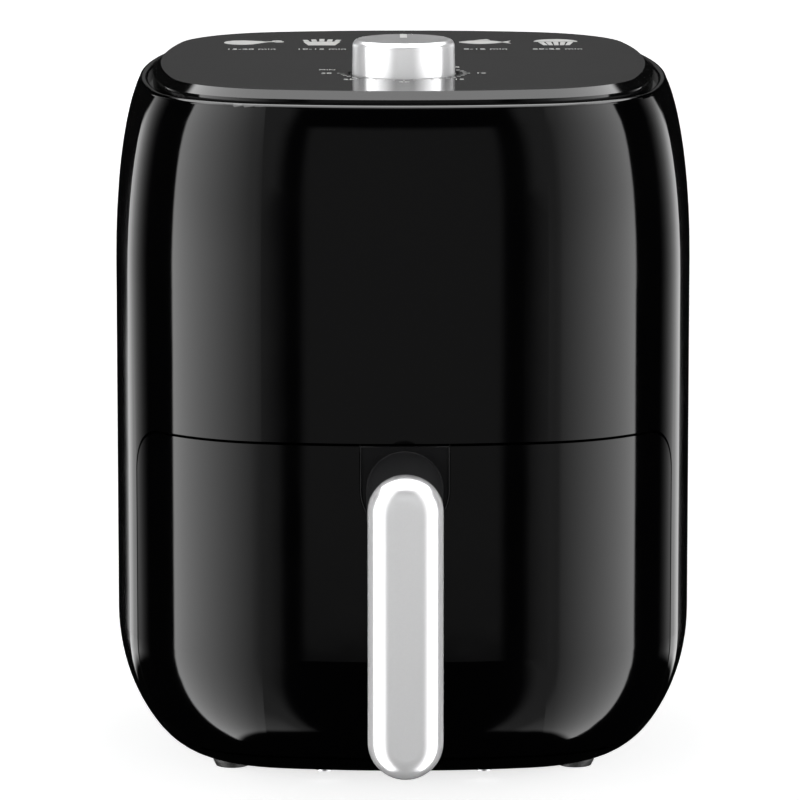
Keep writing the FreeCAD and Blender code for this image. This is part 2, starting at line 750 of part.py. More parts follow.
def heating_element():
    """One tube: outer loop, hairpin bend, inner loop back again, and two upright ends."""
    start = heater_start()
    end = start + HEATER_TURN
    middle = (INNER_LOOP + OUTER_LOOP) / 2
    half = (OUTER_LOOP - INNER_LOOP) / 2

    def loop(radius):
        steps = [start, start + HEATER_TURN / 4, start + HEATER_TURN / 2]
        first = [on_circle(radius, angle, Z_HEATER) for angle in steps]
        last = [on_circle(radius, angle + HEATER_TURN / 2, Z_HEATER) for angle in steps]
        return [Part.Arc(*first).toShape(), Part.Arc(*last).toShape()]

    ahead = V(-math.sin(math.radians(end)), math.cos(math.radians(end)), 0) * half
    hairpin = Part.Arc(
        on_circle(OUTER_LOOP, end, Z_HEATER),
        on_circle(middle, end, Z_HEATER) + ahead,
        on_circle(INNER_LOOP, end, Z_HEATER),
    ).toShape()
    edges = loop(OUTER_LOOP) + [hairpin] + loop(INNER_LOOP)
    back = V(math.sin(math.radians(start)), -math.cos(math.radians(start)), 0)
    for radius, place in zip((INNER_LOOP, OUTER_LOOP), terminal_places()):
        joint = on_circle(radius, start, Z_HEATER)
        knee = joint + back * HEATER_BEND + UP * HEATER_BEND
        centre = joint + UP * HEATER_BEND
        halfway = centre + (back - UP) * (HEATER_BEND * math.sqrt(0.5))
        edges.append(Part.Arc(joint, halfway, knee).toShape())
        edges.append(line(knee, V(place.x, place.y, Z_HOOD_TOP + TERMINAL_RISE)))
    path = Part.Wire(Part.__sortEdges__(edges))
    first = path.OrderedVertexes[0].Point
    profile = Part.Wire(Part.Circle(first, UP, HEATER_RADIUS).toShape())
    gap = HEATER_PITCH - 2 * HEATER_RADIUS
    print(f"heater: least gap between its loops {gap:.2f} mm")
    return path.makePipeShell([profile], True, False)


def heater_clips():
    """Straps under the heater's loops, each bent up to the hood's side."""
    clips = []
    top = Z_HEATER - HEATER_RADIUS - FIT
    outer = HOOD_RADIUS - SHEET - FIT
    inner = INNER_LOOP - 2 * HEATER_RADIUS
    for angle in LEG_ANGLES:
        strap = box(V(inner, -CLIP_WIDTH / 2, top - SHEET), V(outer - SHEET, CLIP_WIDTH / 2, top))
        tab = box(V(outer - SHEET, -CLIP_WIDTH / 2, top - SHEET), V(outer, CLIP_WIDTH / 2, Z_HEATER))
        clip = fuse([strap, tab])
        clip.rotate(V(), UP, angle)
        clip.translate(V(0, FAN_Y, 0))
        clips.append(clip)
    return Part.makeCompound(clips)


def fan(radius, low, height, back_at_top):
    """Pressed fan: a disc with upright blades and a hub on the shaft."""
    high = low + height
    disc_low = high - FAN_SHEET if back_at_top else low
    disc = cylinder(radius, disc_low, disc_low + FAN_SHEET)
    hub = cylinder(FAN_HUB_RADIUS, low, high)
    blades = []
    for index in range(FAN_BLADES):
        blade = box(V(radius / 2, -FAN_SHEET / 2, low), V(radius - FAN_SHEET, FAN_SHEET / 2, high))
        blade.rotate(V(), UP, index * 360 / FAN_BLADES)
        blades.append(blade)
    wheel = fuse([disc, hub] + blades).cut(cylinder(SHAFT_RADIUS + RUNNING, low, high))
    wheel.translate(V(0, FAN_Y, 0))
    return wheel


def rotor_pieces():
    """Motor shaft with the hot fan under the hood and the cooling fan above it."""
    fan_low = Z_HOOD_TOP - SHEET - FAN_GAP - FAN_HEIGHT
    nut_low = fan_low - NUT_HEIGHT
    corners = [on_circle(NUT_RADIUS, corner * 60, nut_low) for corner in range(7)]
    nut = Part.Face(Part.makePolygon(corners)).extrude(UP * NUT_HEIGHT)
    nut = nut.cut(cylinder(SHAFT_RADIUS + RUNNING, nut_low, fan_low, 0, FAN_Y))
    top = Z_MOTOR + MOTOR_HEIGHT + 2 * MOTOR_BOSS
    return {
        "motor_shaft": cylinder(SHAFT_RADIUS, nut_low - SHEET, top, 0, FAN_Y),
        "convection_fan": fan(FAN_RADIUS, fan_low, FAN_HEIGHT, True),
        "cooling_fan": fan(COOLING_FAN_RADIUS, Z_COOLING, COOLING_FAN_HEIGHT, False),
        "fan_nut": nut,
    }


def motor():
    """Round motor with a bearing boss at each end."""
    low = Z_MOTOR
    high = Z_MOTOR + MOTOR_HEIGHT
    bore = SHAFT_RADIUS + RUNNING
    points = [
        (bore, low),
        (MOTOR_RADIUS - MOTOR_BOSS, low),
        (MOTOR_RADIUS, low + MOTOR_BOSS),
        (MOTOR_RADIUS, high - MOTOR_BOSS),
        (MOTOR_RADIUS - MOTOR_BOSS, high),
        (MOTOR_BOSS_RADIUS, high),
        (MOTOR_BOSS_RADIUS, high + MOTOR_BOSS),
        (bore, high + MOTOR_BOSS),
    ]
    return turned(points, 0, FAN_Y)


def motor_bracket():
    """Plate over the cooling fan on three bent legs, which stand on the hood."""
    high = Z_MOTOR
    low = high - BRACKET_SHEET
    plate = tube(BRACKET_LEG_RADIUS, MOTOR_BOSS_RADIUS, low, high)
    pieces = [plate]
    half = BRACKET_LEG_WIDTH / 2
    for angle in LEG_ANGLES:
        inner = BRACKET_LEG_RADIUS - BRACKET_SHEET
        leg = box(V(inner, -half, Z_HOOD_TOP), V(BRACKET_LEG_RADIUS, half, high))
        toe_end = V(inner + BRACKET_LEG_WIDTH, half, Z_HOOD_TOP + BRACKET_SHEET)
        toe = box(V(inner, -half, Z_HOOD_TOP), toe_end)
        for piece in (leg, toe):
            piece.rotate(V(), UP, angle)
            pieces.append(piece)
    bracket = fuse(pieces)
    bracket.translate(V(0, FAN_Y, 0))
    return bracket


def thermostat():
    """Disc thermostat on the hood: flange, can and two upright tabs."""
    place = on_circle(BRACKET_LEG_RADIUS + SENSOR_OFFSET, THERMOSTAT_ANGLE)
    flange = THERMOSTAT_RADIUS + THERMOSTAT_FLANGE
    top = Z_HOOD_TOP + THERMOSTAT_HEIGHT
    points = [
        (0, Z_HOOD_TOP),
        (flange, Z_HOOD_TOP),
        (flange, Z_HOOD_TOP + SHEET),
        (THERMOSTAT_RADIUS, Z_HOOD_TOP + SHEET),
        (THERMOSTAT_RADIUS, top - THERMOSTAT_ROUND),
        (THERMOSTAT_RADIUS - THERMOSTAT_ROUND, top),
        (0, top),
    ]
    pieces = [turned(points, place.x, place.y)]
    for side in (-1, 1):
        low = V(place.x + (side * TAB_PITCH - TAB_WIDTH) / 2, place.y - SHEET / 2, top)
        pieces.append(box(low, low + V(TAB_WIDTH, SHEET, TAB_HEIGHT)))
    return fuse(pieces)


def thermal_fuse():
    """Cartridge fuse held by a small saddle on the hood."""
    place = on_circle(BRACKET_LEG_RADIUS + SENSOR_OFFSET, FUSE_ANGLE, Z_HOOD_TOP)
    low = place - V(SADDLE_LENGTH / 2, SADDLE_WIDTH / 2, 0)
    saddle = box(low, low + V(SADDLE_LENGTH, SADDLE_WIDTH, SADDLE_HEIGHT))
    start = place + V(-FUSE_LENGTH / 2, 0, SADDLE_HEIGHT + FUSE_RADIUS - SHEET)
    barrel = Part.makeCylinder(FUSE_RADIUS, FUSE_LENGTH, start, V(1, 0, 0))
    return fuse([saddle, barrel])


def safety_switch():
    """Micro switch behind the drawer frame, beside the liner, with its flat lever."""
    low = V(LINER_HALF + SWITCH_GAP, Y_LINER, Z_LIP - SWITCH_HEIGHT / 2)
    body = box(low, low + V(SWITCH_WIDTH, SWITCH_DEPTH, SWITCH_HEIGHT))
    lever_low = low + V(LEVER_MARGIN, SWITCH_DEPTH, LEVER_MARGIN)
    lever_size = V(SWITCH_WIDTH - 2 * LEVER_MARGIN, SHEET, SWITCH_HEIGHT - 2 * LEVER_MARGIN)
    return fuse([body, box(lever_low, lever_low + lever_size)])


def timer_pieces():
    """Clockwork timer under the panel, with its bell."""
    half = TIMER_SIDE / 2
    low = Z_PANEL_UNDER - TIMER_HEIGHT
    plan = rounded_plan(half, DIAL_Y - half, DIAL_Y + half, TIMER_CORNER)
    case = prism(plan, 0, low, Z_PANEL_UNDER - WALL)
    pad = tube(TIMER_PAD_RADIUS, HUB_RADIUS + FIT, Z_PANEL_UNDER - WALL, Z_PANEL_UNDER, 0, DIAL_Y)
    post = cylinder(TIMER_SHAFT_RADIUS, low - BELL_HEIGHT, low, 0, DIAL_Y)
    bore = cylinder(TIMER_SHAFT_RADIUS + RUNNING, low + WALL, Z_TOP, 0, DIAL_Y)
    unit = fuse([case, pad, post]).cut(bore)
    edge = low - FIT - WALL
    crown = low - BELL_HEIGHT
    points = [
        (TIMER_SHAFT_RADIUS + RUNNING, crown),
        (BELL_CROWN_RADIUS, crown),
        (BELL_SHOULDER_RADIUS, crown + BELL_SHOULDER),
        (BELL_RADIUS, edge),
        (BELL_RADIUS - SHEET, edge),
        (BELL_SHOULDER_RADIUS - SHEET, crown + BELL_SHOULDER + SHEET / 2),
        (BELL_CROWN_RADIUS - SHEET / 2, crown + SHEET),
        (TIMER_SHAFT_RADIUS + RUNNING, crown + SHEET),
    ]
    return {"timer_unit": unit, "timer_bell": turned(points, 0, DIAL_Y)}


def dial_pieces():
    """Silver knob cup, the hub inside it, the pointer inlay on top and the timer's shaft."""
    top = Z_KNOB + KNOB_HEIGHT
    slope = (KNOB_RADIUS - KNOB_TOP_RADIUS) / KNOB_HEIGHT
    edge_radius = KNOB_RADIUS - slope * (KNOB_HEIGHT - KNOB_EDGE)
    crown = KNOB_EDGE * (1 - math.sqrt(0.5))
    rounding = Part.Arc(
        V(edge_radius, 0, top - KNOB_EDGE),
        V(edge_radius - crown, 0, top - crown),
        V(edge_radius - KNOB_EDGE, 0, top),
    ).toShape()
    inner_top = top - KNOB_SHELL - POINTER_DEPTH
    inside = KNOB_TOP_RADIUS - KNOB_SHELL
    under = chain([
        V(edge_radius - KNOB_EDGE, 0, top),
        V(0, 0, top),
        V(0, 0, inner_top),
        V(inside - KNOB_EDGE, 0, inner_top),
        V(inside, 0, inner_top - KNOB_EDGE),
        V(KNOB_RADIUS - KNOB_SHELL, 0, Z_KNOB),
        V(KNOB_RADIUS, 0, Z_KNOB),
        V(edge_radius, 0, top - KNOB_EDGE),
    ])
    knob = face_of([rounding] + under).revolve(V(), UP, 360)
    far = edge_radius - KNOB_EDGE
    half = POINTER_WIDTH / 2
    slot_half = half + RUNNING
    slot = box(
        V(-slot_half, far - POINTER_LENGTH - RUNNING, top - POINTER_DEPTH),
        V(slot_half, far + RUNNING, top),
    )
    knob = knob.cut(slot)
    pointer = box(V(-half, far - POINTER_LENGTH, top - POINTER_DEPTH), V(half, far, top))
    shaft_low = Z_PANEL_UNDER - TIMER_HEIGHT + WALL + FIT
    hub_low = Z_TOP - DIAL_RECESS - WALL / 2
    hub = tube(HUB_RADIUS, TIMER_SHAFT_RADIUS + RUNNING, hub_low, inner_top)
    shaft = cylinder(TIMER_SHAFT_RADIUS, shaft_low, inner_top)
    pieces = {"timer_knob": knob, "knob_pointer": pointer, "knob_hub": hub, "timer_shaft": shaft}
    for piece in pieces.values():
        piece.translate(V(0, DIAL_Y, 0))
    return pieces


def handle_base_face(offset, y):
    """U-shaped face of the handle's base, from above the drawer seam down to a half circle."""
    half = HANDLE_BASE_WIDTH / 2 + offset
    low = Z_SEAM - HANDLE_BASE_STRAIGHT
    high = Z_SEAM + WALL
    bowl = Part.Arc(V(-half, y, low), V(0, y, low - half), V(half, y, low)).toShape()
    sides = chain([V(half, y, low), V(half, y, high), V(-half, y, high), V(-half, y, low)])
    return face_of([bowl] + sides)


def drawer_band(clearance):
    """Top, back and bottom walls of the drawer front, inside the outer skin."""
    outer = drawer_region(-SEAM_GAP / 2)
    inner = drawer_region(-SEAM_GAP / 2 - WALL)
    return outer.cut([inner, wall_mould(clearance)])


def front_of(y):
    return box(V(-BODY_WIDTH, -2 * BODY_DEPTH, -Z_TOP), V(BODY_WIDTH, y, 2 * Z_TOP))


def drawer_shell():
    """Outer skin of the drawer front with its top and bottom returns, notched for the handle."""
    skin_piece = SHELL_RING.common(drawer_region(-SEAM_GAP / 2))
    split = Y_SEAM - INNER_PLATE_WRAP
    behind = box(V(-BODY_WIDTH, split, -Z_TOP), V(BODY_WIDTH, BODY_DEPTH, 2 * Z_TOP))
    returns = drawer_band(0).cut(behind)
    depth = 2 * WALL + front_dip(HANDLE_BASE_WIDTH) + FIT
    notch = handle_base_face(INSERT_GAP, Y_FRONT - WALL).extrude(BACK * depth)
    return fuse([skin_piece, returns]).cut(notch)


def drawer_inner_plate():
    """Cover that closes the drawer front from behind and wraps over its upper edge."""
    split = Y_SEAM - INNER_PLATE_WRAP
    return drawer_band(FIT).cut(front_of(split))


def pill_face(width, low, high, y):
    return rounded_face(width / 2, low, high, width / 2, width / 2, y)


def handle_pieces():
    """Hook handle: base set into the drawer front, neck, hanging grip and its silver cover."""
    low = Z_GRIP_TOP - HANDLE_LENGTH
    cover_back = Y_GRIP + COVER_THICK
    cover = pill_face(HANDLE_WIDTH, low, Z_GRIP_TOP, Y_GRIP).extrude(BACK * COVER_THICK)
    rim = [edge for edge in cover.Edges if max(v.Y for v in edge.Vertexes) < Y_GRIP + FIT]
    cover = cover.makeFillet(COVER_ROUND, rim)
    lip = COVER_LIP
    pocket = pill_face(HANDLE_WIDTH - 2 * lip, low + lip, Z_GRIP_TOP - lip, cover_back - COVER_POCKET)
    cover = cover.cut(pocket.extrude(BACK * COVER_POCKET))
    inset = lip + FIT
    core_front = cover_back - COVER_POCKET
    core_back = cover_back + GRIP_THICK
    core = pill_face(HANDLE_WIDTH - 2 * inset, low + inset, Z_GRIP_TOP - inset, core_front)
    core = core.extrude(BACK * (core_back - core_front))
    neck_end = Y_FRONT + WALL
    half = HANDLE_WIDTH / 2
    neck_low = Z_GRIP_TOP - NECK_HEIGHT
    neck_round = HANDLE_WIDTH / 5
    neck = rounded_face(half, neck_low, Z_GRIP_TOP, neck_round, half, cover_back)
    neck = neck.extrude(V(0, neck_end - cover_back, NECK_RISE))
    web = NECK_FILLET
    sag = web * (1 - math.sqrt(0.5))
    web_x = -half + neck_round
    corner = V(web_x, core_back, neck_low)
    rise = NECK_RISE
    web_edges = chain([
        corner + V(0, 0, -web),
        corner + V(0, -FIT, -web),
        corner + V(0, -FIT, rise),
        corner + V(0, web, rise),
        corner + V(0, web, 0),
    ])
    web_edges.append(
        Part.Arc(corner + V(0, web, 0), corner + V(0, sag, -sag), corner + V(0, 0, -web)).toShape()
    )
    web_piece = face_of(web_edges).extrude(V(-2 * web_x, 0, 0))
    base_face = handle_base_face(0, Y_FRONT - WALL)
    base = SHELL_RING.common(drawer_region(-SEAM_GAP / 2)).common(base_face.extrude(BACK * 3 * WALL))
    back_low = Z_SEAM - HANDLE_BASE_STRAIGHT - HANDLE_BASE_WIDTH / 2
    back_high = Z_SEAM - SEAM_GAP / 2 - WALL - FIT
    back_half = HANDLE_BASE_WIDTH / 2 + WALL
    back_front = neck_end + front_dip(back_half, WALL) + FIT
    backing = rounded_face(back_half, back_low, back_high, WALL, WALL, back_front)
    backing = backing.extrude(BACK * BASE_BACKING)
    middle = rounded_face(half - WALL, neck_low + WALL, back_high, WALL, WALL, neck_end - WALL)
    middle = middle.extrude(BACK * (back_front - neck_end + WALL))
    head_seat = back_front + BASE_BACKING
    screws = []
    holes = []
    for index in (0, 1):
        z = back_high - HANDLE_BASE_WIDTH / 4 - index * HANDLE_SCREW_PITCH
        length = NECK_HEIGHT / 2
        shank = Part.makeCylinder(HANDLE_SCREW_RADIUS, length, V(0, head_seat - length, z), BACK)
        head = Part.makeCylinder(2 * HANDLE_SCREW_RADIUS, WALL, V(0, head_seat, z), BACK)
        screws.append(fuse([shank, head]))
        holes.append(Part.makeCylinder(
            HANDLE_SCREW_RADIUS + RUNNING, length + FIT, V(0, head_seat - length - FIT, z), BACK
        ))
    bracket = fuse([base, neck, core, web_piece, backing, middle]).cut(holes)
    return {
        "handle_bracket": bracket,
        "handle_cover": cover,
        "handle_screws": Part.makeCompound(screws),
    }


def tub_edges(offset, high):
    """Wall of the pan, moved inwards by offset: a rounded foot that runs into an upright side."""
    foot = V(-PAN_ROUND, 0, Z_PAN + PAN_TAPER_HEIGHT)
    return [
        ellipse_arc(foot, PAN_ROUND - offset, offset - PAN_TAPER_HEIGHT, 0, 90),
        line(V(-offset, 0, foot.z), V(-offset, 0, high)),
    ]


def pan():
    """Drawn steel pan with a rounded foot and an outward lip."""
    under = Z_LIP - PAN_WALL
    floor = Z_PAN + PAN_WALL
    centre = -PAN_ROUND - PAN_LIP
    lip = chain([V(0, 0, under), V(PAN_LIP, 0, under), V(PAN_LIP, 0, Z_LIP), V(-PAN_WALL, 0, Z_LIP)])
    inner_floor = [V(-PAN_ROUND, 0, floor), V(centre, 0, floor)]
    bottom = chain(inner_floor + [V(centre, 0, Z_PAN), V(-PAN_ROUND, 0, Z_PAN)])
    wall = face_of(tub_edges(0, under) + lip + tub_edges(PAN_WALL, Z_LIP) + bottom)
    return fuse([ring(PAN_PLAN, wall), prism(PAN_PLAN, -centre, Z_PAN, floor)])


def pan_bracket():
    """Channel that joins the pan's front wall to the drawer's inner plate."""
    front = Y_SEAM - SEAM_GAP / 2
    half = BRACKET_WIDTH / 2
    high = Z_LIP - PAN_LIP - PAN_WALL
    low = high - BRACKET_HEIGHT
    outer = box(V(-half, front, low), V(half, PAN_FRONT, high))
    leg = 2 * PAN_LIP
    hollow = box(V(-half + leg, front + PAN_WALL, low), V(half - leg, PAN_FRONT, high))
    return outer.cut(hollow)


def crisper_plate():
    """Perforated plate that stands in the pan, with a finger hole in the middle."""
    inset = PAN_WALL + CRISPER_GAP
    inset += PAN_ROUND * (1 - math.sqrt(1 - (1 - (Z_CRISPER - Z_PAN) / PAN_TAPER_HEIGHT) ** 2))
    wires = [outline(PAN_PLAN, inset, Z_CRISPER)]
    holes = [(0, 0, FINGER_HOLE_RADIUS)]
    reach = min(PAN_HALF, (PAN_BACK - PAN_FRONT) / 2) - inset - CRISPER_EDGE - CRISPER_HOLE_RADIUS
    innermost = FINGER_HOLE_RADIUS / 2
    for index in range(1, int((reach - innermost) / CRISPER_RING_PITCH) + 1):
        count = CRISPER_HOLES_PER_RING * index
        radius = CRISPER_RING_PITCH * index + innermost
        for step in range(count):
            turn = 2 * math.pi * step / count
            holes.append((radius * math.cos(turn), radius * math.sin(turn), CRISPER_HOLE_RADIUS))
    for x, y, radius in holes:
        wires.append(Part.Wire(Part.Circle(V(x, FAN_Y + y, Z_CRISPER), UP, radius).toShape()))
    face = Part.makeFace(wires, "Part::FaceMakerBullseye")
    return face.extrude(UP * CRISPER_THICK)


def crisper_bumpers():
    """Four silicone feet under the crisper plate's corners."""
    middle = (PAN_FRONT + PAN_BACK) / 2
    x = PAN_HALF - PAN_CORNER
    y = (PAN_BACK - PAN_FRONT) / 2 - PAN_CORNER
    out = (PAN_CORNER - PAN_ROUND - PAN_WALL - CRISPER_GAP - BUMPER_RADIUS) * math.sqrt(0.5)
    low = Z_PAN + PAN_WALL + FIT
    points = [(0, low), (BUMPER_RADIUS - BUMPER_BEVEL, low), (BUMPER_RADIUS, low + BUMPER_BEVEL)]
    points += [(BUMPER_RADIUS, Z_CRISPER), (0, Z_CRISPER)]
    places = {
        "crisper_bumper_front_left": (-1, -1),
        "crisper_bumper_front_right": (1, -1),
        "crisper_bumper_rear_left": (-1, 1),
        "crisper_bumper_rear_right": (1, 1),
    }
    return {
        name: turned(points, side * (x + out), middle + end * (y + out))
        for name, (side, end) in places.items()
    }


def main():
    nodes = {
        "housing_shell": housing_shell(),
        "control_panel": control_panel(),
        "base_plate": base_plate(),
        "base_screws": base_screws(),
        "rear_grille": rear_grille(),
        "drawer_frame": drawer_frame(),
        "chamber_liner": chamber_liner(),
        "heater_hood": heater_hood(),
        "heating_element": heating_element(),
        "heater_clips": heater_clips(),
        "motor": motor(),
        "motor_bracket": motor_bracket(),
        "thermostat": thermostat(),
        "thermal_fuse": thermal_fuse(),
        "safety_switch": safety_switch(),
        "drawer_front": drawer_shell(),
        "drawer_inner_plate": drawer_inner_plate(),
        "pan": pan(),
        "pan_bracket": pan_bracket(),
        "crisper_plate": crisper_plate(),
    }
    groups = [feet, cord_pieces, guide_rails, rotor_pieces, timer_pieces, dial_pieces]
    groups += [handle_pieces, crisper_bumpers]
    for group in groups:
        nodes.update(group())
    os.makedirs("parts", exist_ok=True)
    for name, shape in nodes.items():
        shape.translate(V(0, HANDLE_REACH / 2, 0))
        shape.exportStep(f"parts/{name}.step")
        print(name, shape.isValid(), len(shape.Solids), round(shape.Volume))


main()
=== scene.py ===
"""Studio scene of a compact drawer air fryer: its finishes, panel print, edge beads and screws.

Metres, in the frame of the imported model: +Z up, front of the drawer towards -Y.
"""

import math

import bmesh
import bpy
from mathutils import Matrix, Vector


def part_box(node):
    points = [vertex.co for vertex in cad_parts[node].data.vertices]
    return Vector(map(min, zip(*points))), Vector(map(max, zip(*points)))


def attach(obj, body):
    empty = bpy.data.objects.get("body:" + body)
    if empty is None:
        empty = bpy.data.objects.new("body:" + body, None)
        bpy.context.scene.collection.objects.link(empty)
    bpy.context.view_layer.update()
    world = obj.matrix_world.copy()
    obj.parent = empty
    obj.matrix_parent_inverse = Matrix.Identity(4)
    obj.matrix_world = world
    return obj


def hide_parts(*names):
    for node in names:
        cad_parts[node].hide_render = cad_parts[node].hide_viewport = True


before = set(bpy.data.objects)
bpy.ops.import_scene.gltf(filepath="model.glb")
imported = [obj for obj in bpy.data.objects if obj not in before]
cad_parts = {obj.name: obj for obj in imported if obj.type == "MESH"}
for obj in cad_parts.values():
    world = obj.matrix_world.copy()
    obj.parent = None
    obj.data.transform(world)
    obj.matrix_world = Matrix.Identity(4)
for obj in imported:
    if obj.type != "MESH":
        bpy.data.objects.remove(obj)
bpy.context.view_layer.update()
MM = 0.001

# Camera that gives the photograph's perspective: place, tilt in radians, lens and shift in pixels
CAMERA_X = -15.4 * MM
CAMERA_Y = -2377.5 * MM
CAMERA_Z = 529.0 * MM
CAMERA_TILT = 0.164
CAMERA_AIM_Y = 22.5 * MM
SENSOR_MM = 36.0
LENS_MM = 283.35
FRAME_PIXELS = 800
OBJECT_RIGHT_OF_MIDDLE = 2.8

# Print on the control panel. The signs' outlines are in millimetres
PRINT_THICKNESS = 0.08 * MM
MINUTES = (0, 5, 10, 15, 20, 25, 30)
MINUTES_RADIUS = 29.0 * MM
MINUTES_SIZE = 4.2 * MM
UNIT_RADIUS = 31.0 * MM
UNIT_ANGLE = 292.0
UNIT_SIZE = 3.6 * MM
DIAL_SWEEP = 270.0
LONG_TICK = 2.6 * MM
SHORT_TICK = 1.5 * MM
TICK_WIDTH = 0.45 * MM
TICK_RADIUS = 22.4 * MM
SIGN_COLUMNS = (-58.8 * MM, -31.4 * MM, 32.4 * MM, 60.4 * MM)
SIGN_Y = 84.0 * MM
SIGN_LEAN = 1.85
SIGN_BARS = range(-2, 3)
SIGN_BAR_PITCH = 2.9
SIGN_TIMES = ("15-20", "10-15", "8-12", "20-25")
SIGN_TIME_Y = 59.0 * MM
SIGN_TIME_SIZE = 4.8 * MM

# Moulded edge lines of the handle's base
BEAD_RADIUS = 0.35 * MM
NECK_LIFT = 1.9 * MM
NECK_SIDE = 12.0 * MM
INSERT_HALF = 16.1 * MM
INSERT_TOP = 134.5 * MM
INSERT_SIDE = 16.2 * MM
FRONT_Y = -100.5 * MM
FRONT_RADIUS = 262.9 * MM
HALF_TURN_STEPS = 40
BEAD_SIDES = 10

# Screws under the base. The recess spans its share of the head's radius
RECESS_WIDTH = 0.9 * MM
RECESS_DEPTH = 0.9 * MM
RECESS_SPAN = 1.2
SCREW_SIDES = 32

# Cards that the gloss mirrors. Edges are (dark, lit) in degrees, round from the front or up
DARK_LEVEL = 0.002
FRONT_LEVEL = 0.32
FRONT_SIDE, FRONT_FOOT, FRONT_HEAD = (18, 16), (-11.85, -11.7), (30, 26)
SIDE_LEVEL, SIDE_ZERO, SIDE_SPAN, SIDE_POWER = 6.9, 12, 80, 1.25
SIDE_NEAR, SIDE_FAR, SIDE_FOOT = (19.5, 23), (93, 91), (-66, -62)
SIDE_LEAN_BELOW, SIDE_LEAN = 14, 0.08
SIDE_HIGH, SIDE_HIGH_DIM = (-6, 4), 0.12
RIGHT_TURN, RIGHT_NEAR_TURN, RIGHT_DIM = 4, 0.8, 0.4
# Level stretch, over the step in the shading where the front arc meets the corner arc
SHELF_END, SHELF_RISE_END, SHELF_DIM = 27.4, 31, 0.3
REAR_LEVEL, REAR_SLANT_ABOVE = 1.6, 9
REAR_NEAR, REAR_FAR, REAR_FOOT = (118, 162), (163, 160), (-17, -14)
WALL_HEAD = (56, 48)
BACK_LEVEL = 0.106
BACK_SIDE, BACK_FOOT, BACK_HEAD = (168, 173), (3, 6), (34, 26)
TOP_LEVEL, TOP_EDGE = 7.6, (50, 62)
SIDE_TOP_NEAR, SIDE_TOP_FAR, SIDE_TOP_FOOT = (80, 95), (150, 135), (33, 38)
REAR_TOP_LEVEL = 5.5
REAR_TOP_NEAR, REAR_TOP_FOOT, REAR_TOP_HEAD = (140, 160), (28, 40), (64, 54)

# Light on rough surfaces, and the floor
AMBIENT_BASE, AMBIENT_LEVEL, AMBIENT_HEAD = 0.05, 3.8, (30, 6)
FLOOR_HALF = 3.0
FLOOR_WHITE = (0.98, 0.98, 0.98)
FLOOR_GLOW = 0.7


class Socket:
    """A socket of a node tree. Arithmetic on it adds Math nodes."""

    def __init__(self, tree, socket):
        self.tree = tree
        self.socket = socket

    def math(self, operation, *values):
        return self.tree.node("ShaderNodeMath", {"operation": operation}, dict(enumerate(values)))

    def __add__(self, other):
        return self.math("ADD", self, other)

    def __sub__(self, other):
        return self.math("SUBTRACT", self, other)

    def __rsub__(self, other):
        return self.math("SUBTRACT", other, self)

    def __mul__(self, other):
        return self.math("MULTIPLY", self, other)

    def __truediv__(self, other):
        return self.math("DIVIDE", self, other)

    def __pow__(self, other):
        return self.math("POWER", self, other)

    __radd__ = __add__
    __rmul__ = __mul__

    def fade(self, start, end):
        """0 at start, 1 at end, with a soft run between them."""
        low, high = min(start, end), max(start, end)
        sockets = {"Value": self, "From Min": low, "From Max": high}
        rising = self.tree.node("ShaderNodeMapRange", {"interpolation_type": "SMOOTHSTEP"}, sockets)
        return rising if start < end else 1 - rising


class Tree:
    """Builds the nodes of a material, a world or a geometry modifier."""

    def __init__(self, tree):
        self.tree = tree

    def node(self, kind, settings=None, sockets=None, output=0):
        made = self.tree.nodes.new(kind)
        for name, value in (settings or {}).items():
            if name == "stops":
                self.set_stops(made.color_ramp, value)
            else:
                setattr(made, name, value)
        for name, value in (sockets or {}).items():
            self.feed(made.inputs[name], value)
        return Socket(self, made.outputs[output]) if made.outputs else made

    def feed(self, socket, value):
        if isinstance(value, Socket):
            self.tree.links.new(value.socket, socket)
        else:
            socket.default_value = value

    def set_stops(self, ramp, stops):
        while len(ramp.elements) < len(stops):
            ramp.elements.new(1.0)
        for element, (position, colour) in zip(ramp.elements, stops):
            element.position = position
            element.color = (*colour, 1.0)

    def mix(self, factor, first, second):
        """Colour between two colours."""
        settings = {"data_type": "RGBA"}
        sockets = {0: factor, 6: rgba(first), 7: rgba(second)}
        return self.node("ShaderNodeMix", settings, sockets, 2)


def rgba(colour):
    return colour if isinstance(colour, Socket) else (*colour, 1.0)


class Finish(Tree):
    """A material with one surface shader, patterned in the object's own coordinates."""

    def __init__(self, name):
        self.material = bpy.data.materials.new(name)
        self.material.use_nodes = True
        super().__init__(self.material.node_tree)
        self.shader = self.tree.nodes["Principled BSDF"]
        self.place = self.node("ShaderNodeTexCoord", output=3)

    def stretched(self, x, y, z):
        return self.node("ShaderNodeMapping", {}, {"Vector": self.place, "Scale": (x, y, z)})

    def noise(self, scale, detail=2.0, place=None):
        """Grey noise with cells of 1 / scale metres."""
        sockets = {"Vector": place or self.place, "Scale": scale, "Detail": detail}
        return self.node("ShaderNodeTexNoise", {}, sockets)

    def cells(self, scale):
        """Flat cells, each of its own colour."""
        return self.node("ShaderNodeTexVoronoi", {}, {"Vector": self.place, "Scale": scale}, 1)

    def bump(self, height, strength, distance):
        sockets = {"Height": height, "Strength": strength, "Distance": distance}
        return self.node("ShaderNodeBump", {}, sockets)

    def shade(self, **sockets):
        for name, value in sockets.items():
            self.feed(self.shader.inputs[name.replace("_", " ")], value)
        return self.material


